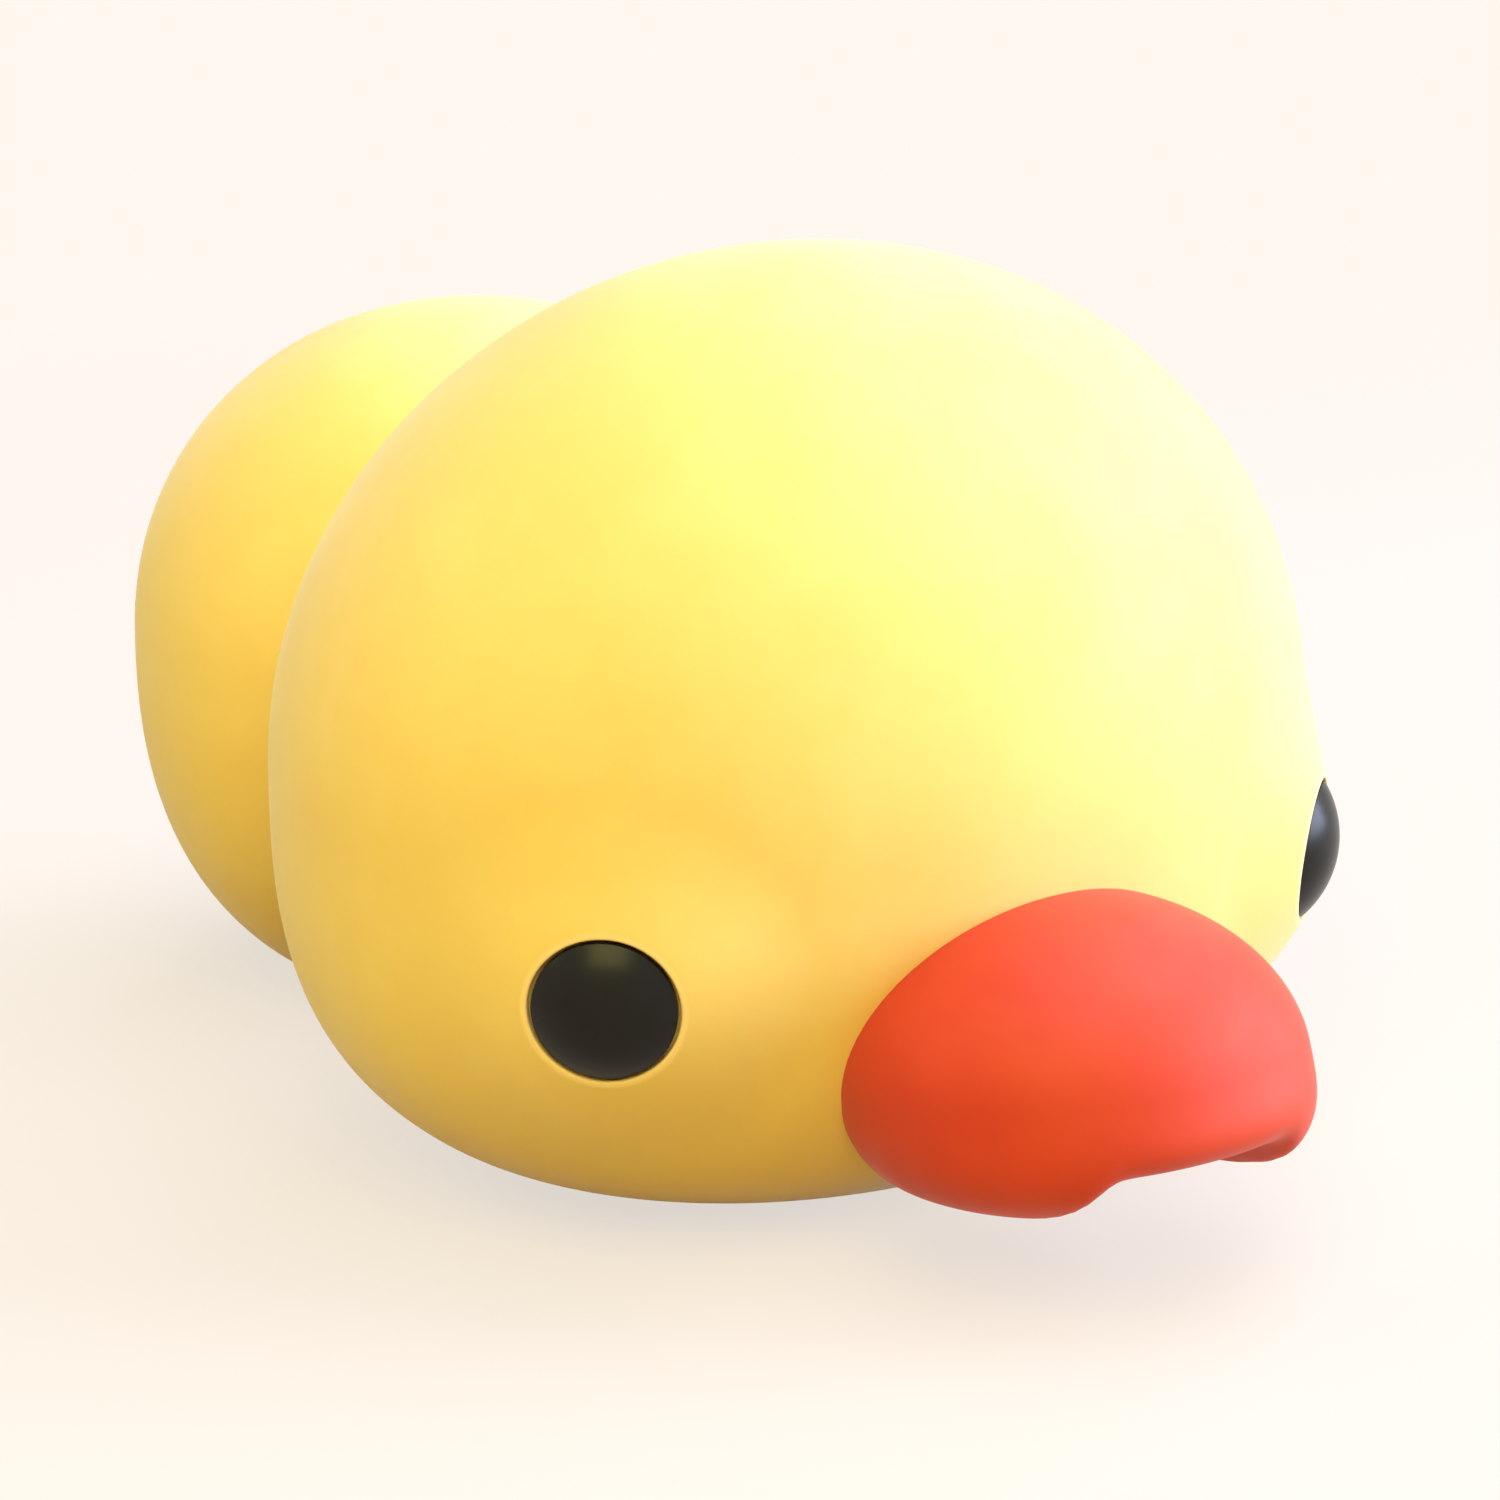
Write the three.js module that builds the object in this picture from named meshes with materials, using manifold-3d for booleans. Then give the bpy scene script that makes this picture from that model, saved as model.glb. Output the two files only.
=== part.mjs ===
// A squeaky duck dog toy lying on its belly: a broad yellow latex head with a puffed orange bill and two
// black eyes set wide and low, and a smaller yellow body behind it. The skins are hollow and packed with
// fibre. A reed squeaker is pressed into the hole in the belly. Millimetres, +Z up, the bill towards -Y.

import * as THREE from "three";
import { mergeVertices } from "three/addons/utils/BufferGeometryUtils.js";
import Module from "manifold-3d";

// Skins, and the clearance that separate pieces keep between them
const SKIN_WALL = 2.2;
const SEAT_GAP = 0.3;
const SOLE_TRIM = 0.5;

// Head: how far it reaches each way from its widest level, and how full each half is (2 is an ellipse)
const HEAD_HALF_WIDTH = 46;
const HEAD_FRONT = 34.6;
const HEAD_BACK = 39.5;
const HEAD_CROWN = 41.2;
const HEAD_JOWL = 35.6;
const HEAD_CROWN_FULLNESS = 2;
const HEAD_JOWL_FULLNESS = 2.9;

// Body behind the head, and the neck mouth between the two
const BODY_HALF_WIDTH = 30.9;
const BODY_FRONT = 22.7;
const BODY_BACK = 28.6;
const BODY_CROWN = 29;
const BODY_BELLY = 34;
const BODY_CROWN_FULLNESS = 2.1;
const BODY_BELLY_FULLNESS = 2.4;
const NECK_OVERLAP = 11.3;
const NECK_MOUTH_RADIUS = 17;
const NECK_HEIGHT = 33;

// Tail: a small flattened stub on the back, turned up
const TAIL_HALF_WIDTH = 12.5;
const TAIL_REACH = 17;
const TAIL_HALF_THICKNESS = 7.5;
const TAIL_PROUD = 7.5;
const TAIL_HEIGHT = 36;
const TAIL_TURN_UP = 26;
const TAIL_FULLNESS = 1.9;
const TAIL_PLAN_FULLNESS = 1.8;

// Bill: a wide puffed dome low on the face, its tip turned up a little, with a notch in its lower lip.
// Its crown leans back, and its lip forward.
const BILL_HALF_WIDTH = 18.7;
const BILL_CROWN = 13.8;
const BILL_LIP = 10.1;
const BILL_REACH = 18.2;
const BILL_PROUD = 20.2;
const BILL_LIFT = 6.9;
const BILL_LEAN = 2.1;
const BILL_TURN_UP = 8.9;
const BILL_CROWN_FULLNESS = 2;
const BILL_LIP_FULLNESS = 3.1;
const BILL_PLAN_FULLNESS = 2.15;
const BILL_NOTCH_RISE = 3.6;
const BILL_NOTCH_HALF_WIDTH = 9.4;
const BILL_NOTCH_SHARPNESS = 12;

// Eyes: glossy domes in pockets on two raised bosses, turned from the nose and dropped from the widest level
const EYE_RADIUS = 5.75;
const EYE_DOME_HEIGHT = 2.1;
const EYE_POCKET_DEPTH = 1.2;
const EYE_TURN = 49.5;
const EYE_DROP = 16;
const EYE_BOSS_HEIGHT = 1.7;
const EYE_BOSS_SHOULDER = 0.55;
const EYE_BOSS_SLOPE = 7.5;
const EYE_BOSS_BEND = 2.2;

// Squeaker housing: a flanged tube with a barb that holds it in the hole
const HOUSING_BORE_RADIUS = 3.8;
const HOUSING_WALL = 1.2;
const HOUSING_LENGTH = 20.5;
const FLANGE_OVERHANG = 2;
const FLANGE_THICKNESS = 1.5;
const FLANGE_RECESS = 0.3;
const BARB_PROUD = 1;
const BARB_LENGTH = 2;
const SOUND_HOLE_RADIUS = 1.7;

// Belly ring round the squeaker hole: a flat foot outside, a collar that grips the housing inside
const RING_WIDTH = 2.2;
const RING_SLOPE = 3.5;
const RING_HEIGHT = 4.5;
const COLLAR_WALL = 3.3;
const COLLAR_HEIGHT = 6.4;

// Reed: a carrier and a wedge, two half-round bars that clamp the tang, and the tongue that beats
const CARRIER_FOOT_GAP = 2.4;
const CLAMP_LENGTH = 5.5;
const AIR_CHANNEL_WIDTH = 2.8;
const AIR_CHANNEL_DEPTH = 1.8;
const AIR_CHANNEL_SILL = 1;
const REED_THICKNESS = 0.3;
const REED_WIDTH = 4.4;
const REED_TIP_LIFT = 0.6;
const REED_TIP_MARGIN = 0.6;
const REED_RUNNING_GAP = 0.12;

// Vent cap: a slotted cup over the top of the housing that keeps the fibre off the reed
const CAP_WALL = 0.9;
const CAP_SKIRT = 3.4;
const CAP_HEADROOM = 1.6;
const CAP_SLOT_COUNT = 6;
const CAP_SLOT_WIDTH = 1;
const CAP_HUB_RADIUS = 1.4;
const CAP_RIM_WIDTH = 0.8;

// Facet counts
const HEAD_ROUND = 40;
const HEAD_RINGS = 26;
const BODY_ROUND = 32;
const BODY_RINGS = 20;
const BILL_ROUND = 28;
const BILL_RINGS = 16;
const TAIL_ROUND = 20;
const TAIL_RINGS = 12;
const INNER_ROUND = 20;
const INNER_RINGS = 12;
const TURNED_ROUND = 24;
const CURVE_STEPS = 5;
const TONGUE_STEPS = 8;

// How far a cutting solid runs past what it cuts
const CUT_PAST = 1;
const MODEL_SPAN = 400;

const wasm = await Module();
wasm.setup();

const yellowLatex = new THREE.MeshStandardMaterial({ color: 0xfedc5a, roughness: 0.7, metalness: 0 });
const orangeLatex = new THREE.MeshStandardMaterial({ color: 0xf4572e, roughness: 0.65, metalness: 0 });
const eyeBlack = new THREE.MeshStandardMaterial({ color: 0x26241f, roughness: 0.18, metalness: 0 });
const fibreWhite = new THREE.MeshStandardMaterial({ color: 0xf2f0ea, roughness: 0.95, metalness: 0 });
const squeakerWhite = new THREE.MeshStandardMaterial({ color: 0xf4f4f0, roughness: 0.45, metalness: 0 });
const reedClear = new THREE.MeshStandardMaterial({ color: 0xd9e3e6, roughness: 0.25, metalness: 0 });

// A closed geometry becomes a solid that can be cut and joined, and a solid goes back to a geometry.
function solid(geometry) {
  const bare = geometry.index ? geometry.toNonIndexed() : geometry.clone();
  bare.deleteAttribute("normal");
  bare.deleteAttribute("uv");
  const merged = mergeVertices(bare, 1e-4);
  return new wasm.Manifold(
    new wasm.Mesh({
      numProp: 3,
      vertProperties: merged.attributes.position.array,
      triVerts: new Uint32Array(merged.index.array),
    }),
  );
}

function geometryOf(made) {
  const mesh = made.getMesh();
  const positions = new Float32Array(mesh.numVert * 3);
  for (let i = 0; i < mesh.numVert; i++) {
    const start = i * mesh.numProp;
    positions.set(mesh.vertProperties.subarray(start, start + 3), i * 3);
  }
  return new THREE.BufferGeometry()
    .setAttribute("position", new THREE.BufferAttribute(positions, 3))
    .setIndex(new THREE.BufferAttribute(mesh.triVerts, 1));
}

function piece(name, made, material) {
  const geometry = made.isBufferGeometry ? made : geometryOf(made);
  geometry.computeVertexNormals();
  const mesh = new THREE.Mesh(geometry, material);
  mesh.name = name;
  return mesh;
}

// A turned geometry about +Z from [radius, height] points that start and end on the axis, or close up.
function turned(profile) {
  const points = profile.map(([radius, height]) => new THREE.Vector2(radius, height));
  return new THREE.LatheGeometry(points, TURNED_ROUND).rotateX(Math.PI / 2);
}

function rod(radius, low, high) {
  return turned([[0, low], [radius, low], [radius, high], [0, high]]);
}

// Everything below a level
function below(level) {
  const block = new THREE.BoxGeometry(MODEL_SPAN, MODEL_SPAN, MODEL_SPAN);
  return solid(block.translate(0, 0, level - MODEL_SPAN / 2));
}

// Swollen forms: a ball stretched to its own reach each way, filled out towards a box as fullness grows.
const headForm = {
  halfWidth: HEAD_HALF_WIDTH,
  front: HEAD_FRONT,
  back: HEAD_BACK,
  crown: HEAD_CROWN,
  belly: HEAD_JOWL,
  crownFullness: HEAD_CROWN_FULLNESS,
  bellyFullness: HEAD_JOWL_FULLNESS,
  centre: new THREE.Vector3(0, 0, HEAD_JOWL - SOLE_TRIM),
};
const bodyForm = {
  halfWidth: BODY_HALF_WIDTH,
  front: BODY_FRONT,
  back: BODY_BACK,
  crown: BODY_CROWN,
  belly: BODY_BELLY,
  crownFullness: BODY_CROWN_FULLNESS,
  bellyFullness: BODY_BELLY_FULLNESS,
  centre: new THREE.Vector3(0, HEAD_BACK + BODY_FRONT - NECK_OVERLAP, BODY_BELLY - SOLE_TRIM),
};
const tailForm = {
  halfWidth: TAIL_HALF_WIDTH,
  front: TAIL_REACH,
  back: TAIL_REACH,
  crown: TAIL_HALF_THICKNESS,
  belly: TAIL_HALF_THICKNESS,
  crownFullness: TAIL_FULLNESS,
  bellyFullness: TAIL_FULLNESS,
  planFullness: TAIL_PLAN_FULLNESS,
  tilt: TAIL_TURN_UP,
  centre: new THREE.Vector3(0, bodyForm.centre.y + BODY_BACK + TAIL_PROUD - TAIL_REACH, TAIL_HEIGHT),
};
const billForm = {
  halfWidth: BILL_HALF_WIDTH,
  front: BILL_REACH,
  back: BILL_REACH,
  crown: BILL_CROWN,
  belly: BILL_LIP,
  crownFullness: BILL_CROWN_FULLNESS,
  bellyFullness: BILL_LIP_FULLNESS,
  planFullness: BILL_PLAN_FULLNESS,
  lean: BILL_LEAN,
  tilt: -BILL_TURN_UP,
  notch: { rise: BILL_NOTCH_RISE, halfWidth: BILL_NOTCH_HALF_WIDTH, sharpness: BILL_NOTCH_SHARPNESS },
  centre: new THREE.Vector3(0, BILL_REACH - HEAD_FRONT - BILL_PROUD, BILL_LIFT + BILL_LIP),
};

// The point of a form that lies in the direction of a unit vector, drawn in all round by the inset.
function formPoint(form, direction, inset) {
  const { x, y, z } = direction;
  const above = z > 0;
  const fullness = above ? form.crownFullness : form.bellyFullness;
  const plan = form.planFullness ?? 2;
  const outward = (Math.abs(x) ** plan + Math.abs(y) ** plan) ** (1 / plan);
  const swell = (outward ** fullness + Math.abs(z) ** fullness) ** (-1 / fullness);
  const point = new THREE.Vector3(
    x * swell * (form.halfWidth - inset),
    y * swell * ((y < 0 ? form.front : form.back) - inset),
    z * swell * ((above ? form.crown : form.belly) - inset),
  );
  point.y += z * swell * (form.lean ?? 0);
  if (form.notch && !above) {
    const notchReach = form.notch.halfWidth + inset;
    const middle = Math.exp(-(Math.abs(point.x / notchReach) ** form.notch.sharpness));
    point.z += form.notch.rise * middle * (z * swell) ** 2;
  }
  point.applyAxisAngle(new THREE.Vector3(1, 0, 0), THREE.MathUtils.degToRad(form.tilt ?? 0));
  return point.add(form.centre);
}

function formSolid(form, inset, around, rings) {
  const geometry = new THREE.SphereGeometry(1, around, rings).rotateX(Math.PI / 2);
  const positions = geometry.attributes.position;
  const direction = new THREE.Vector3();
  for (let i = 0; i < positions.count; i++) {
    direction.fromBufferAttribute(positions, i).normalize();
    const point = formPoint(form, direction, inset);
    positions.setXYZ(i, point.x, point.y, point.z);
  }
  return solid(geometry);
}

const innerSolid = (form, inset) => formSolid(form, inset, INNER_ROUND, INNER_RINGS);

// The head's outside and the gap to it, which cuts everything that sits against the head
const headClear = formSolid(headForm, -SEAT_GAP, HEAD_ROUND, HEAD_RINGS);

// The round way through the neck, from the middle of the head to the middle of the body
function neckWay(radius) {
  return solid(rod(radius, 0, bodyForm.centre.y).rotateX(-Math.PI / 2).translate(0, 0, NECK_HEIGHT));
}

// An eye's place on the head: the point on its surface and the way out of it, on the left or the right.
function eyePlace(side) {
  const turn = THREE.MathUtils.degToRad(EYE_TURN);
  const rise = -THREE.MathUtils.degToRad(EYE_DROP);
  const onHead = (turnBy, riseBy) => {
    const level = Math.cos(rise + riseBy);
    const x = side * Math.sin(turn + turnBy) * level;
    const y = -Math.cos(turn + turnBy) * level;
    return formPoint(headForm, new THREE.Vector3(x, y, Math.sin(rise + riseBy)), 0);
  };
  const step = 0.01;
  const across = onHead(side * step, 0).sub(onHead(-side * step, 0));
  const upwards = onHead(0, step).sub(onHead(0, -step));
  return { point: onHead(0, 0), normal: across.cross(upwards).normalize() };
}

// Turns a geometry made about +Z to stand on the head at an eye's place.
function standOn(place, geometry) {
  const turn = new THREE.Quaternion().setFromUnitVectors(new THREE.Vector3(0, 0, 1), place.normal);
  return geometry.applyQuaternion(turn).translate(place.point.x, place.point.y, place.point.z);
}

const rightEyePlace = eyePlace(-1);
const leftEyePlace = eyePlace(1);
const pocketFloor = EYE_BOSS_HEIGHT - EYE_POCKET_DEPTH;

// Boss: it flares up from the head, which falls away round the middle of the seat, to a flat rim.
function eyeBoss(place) {
  const foot = EYE_RADIUS + EYE_BOSS_SHOULDER + EYE_BOSS_SLOPE;
  const skinAt = (radius) => -(radius ** 2) / (2 * HEAD_FRONT);
  const root = 2 * skinAt(foot);
  const profile = [[0, root], [foot, root]];
  for (let i = 0; i <= CURVE_STEPS; i++) {
    const share = i / CURVE_STEPS;
    const radius = foot - EYE_BOSS_SLOPE * share;
    const skin = skinAt(radius);
    profile.push([radius, skin + (EYE_BOSS_HEIGHT - skin) * share ** EYE_BOSS_BEND]);
  }
  profile.push([0, EYE_BOSS_HEIGHT]);
  return solid(standOn(place, turned(profile)));
}

function eyePocket(place) {
  return solid(standOn(place, rod(EYE_RADIUS + SEAT_GAP, pocketFloor, EYE_BOSS_HEIGHT + CUT_PAST)));
}

function eyeDome(place) {
  const domeRadius = (EYE_RADIUS ** 2 + EYE_DOME_HEIGHT ** 2) / (2 * EYE_DOME_HEIGHT);
  const halfAngle = Math.asin(EYE_RADIUS / domeRadius);
  const domeCentre = EYE_BOSS_HEIGHT + EYE_DOME_HEIGHT - domeRadius;
  const seat = pocketFloor + SEAT_GAP;
  const profile = [[0, seat], [EYE_RADIUS, seat]];
  for (let i = CURVE_STEPS; i > 0; i--) {
    const angle = (halfAngle * i) / CURVE_STEPS;
    profile.push([domeRadius * Math.sin(angle), domeCentre + domeRadius * Math.cos(angle)]);
  }
  profile.push([0, domeCentre + domeRadius]);
  return standOn(place, turned(profile));
}

// Head skin: a swollen shell with two eye bosses, open at the neck and trimmed flat where it stands
function headSkin() {
  return formSolid(headForm, 0, HEAD_ROUND, HEAD_RINGS)
    .add(eyeBoss(rightEyePlace))
    .add(eyeBoss(leftEyePlace))
    .subtract(eyePocket(rightEyePlace))
    .subtract(eyePocket(leftEyePlace))
    .subtract(innerSolid(headForm, SKIN_WALL).subtract(below(SKIN_WALL)))
    .subtract(neckWay(NECK_MOUTH_RADIUS))
    .subtract(below(0));
}

// The squeaker stands under the body's middle. The belly ring, the stuffing and the reed share its sizes.
const housingRadius = HOUSING_BORE_RADIUS + HOUSING_WALL;
const flangeRadius = housingRadius + FLANGE_OVERHANG;
const flangeTop = FLANGE_RECESS + FLANGE_THICKNESS;
const ringRadius = flangeRadius + SEAT_GAP + RING_WIDTH;
const collarRadius = housingRadius + SEAT_GAP + COLLAR_WALL;
const capInner = housingRadius + SEAT_GAP;
const capOuter = capInner + CAP_WALL;
const capRoof = HOUSING_LENGTH + SEAT_GAP + CAP_HEADROOM;
const capFoot = HOUSING_LENGTH - CAP_SKIRT;

function onSqueakerAxis(geometry) {
  return geometry.translate(0, bodyForm.centre.y, 0);
}

const squeakerRod = (radius, low, high) => solid(onSqueakerAxis(rod(radius, low, high)));

// Body skin: open against the head, with a tail, and a ring and collar round the squeaker hole
function bodySkin() {
  const ring = turned([[0, 0], [ringRadius, 0], [ringRadius + RING_SLOPE, RING_HEIGHT], [0, RING_HEIGHT]]);
  return formSolid(bodyForm, 0, BODY_ROUND, BODY_RINGS)
    .add(formSolid(tailForm, 0, TAIL_ROUND, TAIL_RINGS))
    .subtract(innerSolid(bodyForm, SKIN_WALL).subtract(below(SKIN_WALL)))
    .add(solid(onSqueakerAxis(ring)))
    .add(squeakerRod(collarRadius, 0, COLLAR_HEIGHT))
    .subtract(headClear)
    .subtract(squeakerRod(housingRadius + SEAT_GAP, -CUT_PAST, COLLAR_HEIGHT + CUT_PAST))
    .subtract(squeakerRod(flangeRadius + SEAT_GAP, -CUT_PAST, flangeTop + SEAT_GAP))
    .subtract(below(0));
}

// Bill skin: a puffed shell with its open back against the face
function billSkin() {
  return formSolid(billForm, 0, BILL_ROUND, BILL_RINGS)
    .subtract(innerSolid(billForm, SKIN_WALL))
    .subtract(headClear);
}

// Stuffing: what fills the head, the bill, and the body with the neck, all a gap inside the skins
const fibreInset = SKIN_WALL + SEAT_GAP;

function headStuffing() {
  return innerSolid(headForm, fibreInset).subtract(below(fibreInset));
}

function billStuffing() {
  return innerSolid(billForm, fibreInset).subtract(headClear);
}

function bodyStuffing() {
  const neckPlug = neckWay(NECK_MOUTH_RADIUS - SEAT_GAP).subtract(innerSolid(headForm, SKIN_WALL));
  const ringReach = ringRadius + RING_SLOPE + SEAT_GAP;
  const barbReach = housingRadius + BARB_PROUD + SEAT_GAP;
  return innerSolid(bodyForm, fibreInset)
    .subtract(below(fibreInset))
    .subtract(headClear)
    .add(neckPlug)
    .subtract(squeakerRod(ringReach, -CUT_PAST, RING_HEIGHT + SEAT_GAP))
    .subtract(squeakerRod(collarRadius + SEAT_GAP, -CUT_PAST, COLLAR_HEIGHT + SEAT_GAP))
    .subtract(squeakerRod(barbReach, -CUT_PAST, HOUSING_LENGTH))
    .subtract(squeakerRod(capOuter + SEAT_GAP, capFoot - SEAT_GAP, capRoof + CAP_WALL + SEAT_GAP));
}

// Squeaker housing: flange, tube and barb turned about one axis, with the sound hole through its floor
function squeakerHousing() {
  const barbFoot = COLLAR_HEIGHT + SEAT_GAP;
  const profile = [
    [SOUND_HOLE_RADIUS, FLANGE_RECESS],
    [flangeRadius, FLANGE_RECESS],
    [flangeRadius, flangeTop],
    [housingRadius, flangeTop],
    [housingRadius, barbFoot],
    [housingRadius + BARB_PROUD, barbFoot],
    [housingRadius, barbFoot + BARB_LENGTH],
    [housingRadius, HOUSING_LENGTH],
    [HOUSING_BORE_RADIUS, HOUSING_LENGTH],
    [HOUSING_BORE_RADIUS, flangeTop],
    [SOUND_HOLE_RADIUS, flangeTop],
    [SOUND_HOLE_RADIUS, FLANGE_RECESS],
  ];
  return onSqueakerAxis(turned(profile));
}

// The reed and its two bars hang from the top of the housing, the reed in the slit between them.
const clampTop = HOUSING_LENGTH;
const clampFoot = clampTop - CLAMP_LENGTH;
const carrierFoot = flangeTop + CARRIER_FOOT_GAP;
const slitHalf = REED_THICKNESS / 2 + REED_RUNNING_GAP;
const barRadius = HOUSING_BORE_RADIUS - SEAT_GAP;

// A half-round bar on the front or the back side of the slit
function halfRoundBar(side, low, high) {
  const slitAngle = Math.asin(slitHalf / barRadius);
  const from = side > 0 ? slitAngle : Math.PI + slitAngle;
  const shape = new THREE.Shape();
  shape.absarc(0, 0, barRadius, from, from + Math.PI - 2 * slitAngle);
  shape.closePath();
  const bar = new THREE.ExtrudeGeometry(shape, {
    depth: high - low,
    bevelEnabled: false,
    curveSegments: TURNED_ROUND / 2,
  });
  return onSqueakerAxis(bar.translate(0, 0, low));
}

// Reed carrier: the bar that the reed beats against, with the air channel cut into its flat face
function reedCarrier() {
  const low = carrierFoot + AIR_CHANNEL_SILL;
  const high = clampTop + CUT_PAST;
  const depth = AIR_CHANNEL_DEPTH + slitHalf;
  const channel = new THREE.BoxGeometry(AIR_CHANNEL_WIDTH, depth, high - low);
  channel.translate(0, -depth / 2, (low + high) / 2);
  return solid(halfRoundBar(-1, carrierFoot, clampTop)).subtract(solid(onSqueakerAxis(channel)));
}

// Reed wedge: the short bar that presses the tang against the carrier
function reedWedge() {
  return halfRoundBar(1, clampFoot, clampTop);
}

// Reed tang: the end of the reed that the two bars grip
function reedTang() {
  const tang = new THREE.BoxGeometry(REED_WIDTH, REED_THICKNESS, CLAMP_LENGTH);
  return onSqueakerAxis(tang.translate(0, 0, (clampFoot + clampTop) / 2));
}

// Reed tongue: the free end of the reed, curled off its seat towards the tip
function reedTongue() {
  const root = clampFoot - SEAT_GAP;
  const length = root - carrierFoot - REED_TIP_MARGIN;
  const near = [];
  const far = [];
  for (let i = 0; i <= TONGUE_STEPS; i++) {
    const share = i / TONGUE_STEPS;
    const middle = REED_TIP_LIFT * share ** 2;
    near.push(new THREE.Vector2(middle - REED_THICKNESS / 2, root - share * length));
    far.push(new THREE.Vector2(middle + REED_THICKNESS / 2, root - share * length));
  }
  const shape = new THREE.Shape([...near, ...far.reverse()]);
  const tongue = new THREE.ExtrudeGeometry(shape, { depth: REED_WIDTH, bevelEnabled: false });
  // The outline's first axis becomes +Y and its second +Z, and the extrusion runs along X.
  const axes = new THREE.Matrix4().makeBasis(
    new THREE.Vector3(0, 1, 0),
    new THREE.Vector3(0, 0, 1),
    new THREE.Vector3(1, 0, 0),
  );
  return onSqueakerAxis(tongue.applyMatrix4(axes).translate(-REED_WIDTH / 2, 0, 0));
}

// Vent cap: a cup over the housing, with slots from its hub to its rim that let the air through
function ventCap() {
  const top = capRoof + CAP_WALL;
  const chamfer = CAP_WALL / 2;
  const cup = turned([
    [capInner, capFoot],
    [capOuter, capFoot],
    [capOuter, top - chamfer],
    [capOuter - chamfer, top],
    [0, top],
    [0, capRoof],
    [capInner, capRoof],
    [capInner, capFoot],
  ]);
  let cap = solid(onSqueakerAxis(cup));
  const slotLength = capInner - CAP_RIM_WIDTH - CAP_HUB_RADIUS;
  for (let i = 0; i < CAP_SLOT_COUNT; i++) {
    const slot = new THREE.BoxGeometry(slotLength, CAP_SLOT_WIDTH, CAP_WALL + 2 * CUT_PAST)
      .translate(CAP_HUB_RADIUS + slotLength / 2, 0, capRoof + CAP_WALL / 2)
      .rotateZ((i * 2 * Math.PI) / CAP_SLOT_COUNT);
    cap = cap.subtract(solid(onSqueakerAxis(slot)));
  }
  return cap;
}

const toy = new THREE.Group();
toy.add(
  piece("head_skin", headSkin(), yellowLatex),
  piece("body_skin", bodySkin(), yellowLatex),
  piece("bill_skin", billSkin(), orangeLatex),
  piece("right_eye", eyeDome(rightEyePlace), eyeBlack),
  piece("left_eye", eyeDome(leftEyePlace), eyeBlack),
  piece("head_stuffing", headStuffing(), fibreWhite),
  piece("body_stuffing", bodyStuffing(), fibreWhite),
  piece("bill_stuffing", billStuffing(), fibreWhite),
  piece("squeaker_housing", squeakerHousing(), squeakerWhite),
  piece("reed_carrier", reedCarrier(), squeakerWhite),
  piece("reed_wedge", reedWedge(), squeakerWhite),
  piece("reed_tang", reedTang(), reedClear),
  piece("reed_tongue", reedTongue(), reedClear),
  piece("vent_cap", ventCap(), squeakerWhite),
);

// The origin is on the floor, in the middle of the toy's length and width.
const reach = new THREE.Box3().setFromObject(toy, true);
const middle = reach.getCenter(new THREE.Vector3());
for (const mesh of toy.children) {
  mesh.position.set(-middle.x, -middle.y, 0);
}

export default toy;
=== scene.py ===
"""A squeaky duck dog toy in matte latex, lying on its belly.

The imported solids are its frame. The skins, the eyes, the fibre and the squeaker's housing are made
again here as finer forms of the same sizes, and every piece gets the finish of its real material.
Lengths are in metres, +Z is up and the bill points to -Y.
"""

import math
from dataclasses import dataclass

import bmesh
import bpy
from mathutils import Matrix, Vector
from mathutils.bvhtree import BVHTree

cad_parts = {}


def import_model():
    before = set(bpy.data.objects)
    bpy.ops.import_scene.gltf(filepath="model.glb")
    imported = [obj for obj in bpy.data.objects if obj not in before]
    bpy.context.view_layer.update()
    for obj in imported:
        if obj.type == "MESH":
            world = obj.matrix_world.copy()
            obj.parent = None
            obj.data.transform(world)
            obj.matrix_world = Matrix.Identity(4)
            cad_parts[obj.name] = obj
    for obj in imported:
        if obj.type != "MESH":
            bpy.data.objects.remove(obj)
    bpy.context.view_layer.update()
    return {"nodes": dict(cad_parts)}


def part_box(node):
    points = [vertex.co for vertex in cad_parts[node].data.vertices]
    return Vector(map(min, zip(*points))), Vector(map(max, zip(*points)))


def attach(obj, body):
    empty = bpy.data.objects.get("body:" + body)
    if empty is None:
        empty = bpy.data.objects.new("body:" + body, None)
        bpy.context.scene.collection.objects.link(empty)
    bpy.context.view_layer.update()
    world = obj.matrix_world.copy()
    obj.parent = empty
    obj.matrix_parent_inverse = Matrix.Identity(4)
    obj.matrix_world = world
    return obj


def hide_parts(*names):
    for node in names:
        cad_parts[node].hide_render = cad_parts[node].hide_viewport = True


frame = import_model()

MM = 0.001

# The photograph's camera: it stands at the duck's right front and looks a little down. Its lens and
# its sensor are in millimetres.
CAMERA_PLACE = Vector((-276.46, -400.45, 177.63)) * MM
CAMERA_TARGET = Vector((-5.43, -14.95, 34.83)) * MM
CAMERA_LENS = 142.9
CAMERA_SENSOR = 36.0
CAMERA_NEAR = 10.0 * MM

# Skins: their wall, the clearance between separate pieces, the slice that is cut off the sole, how
# far the rims of the body and the bill are sunk into the head's skin so that no gap shows, and how
# tightly they are filled, from 0 to 1
SKIN_WALL = 2.2 * MM
SEAT_GAP = 0.3 * MM
SOLE_TRIM = 0.5 * MM
RIM_SINK = 0.25 * MM
SKIN_FILL = 0.95

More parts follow.
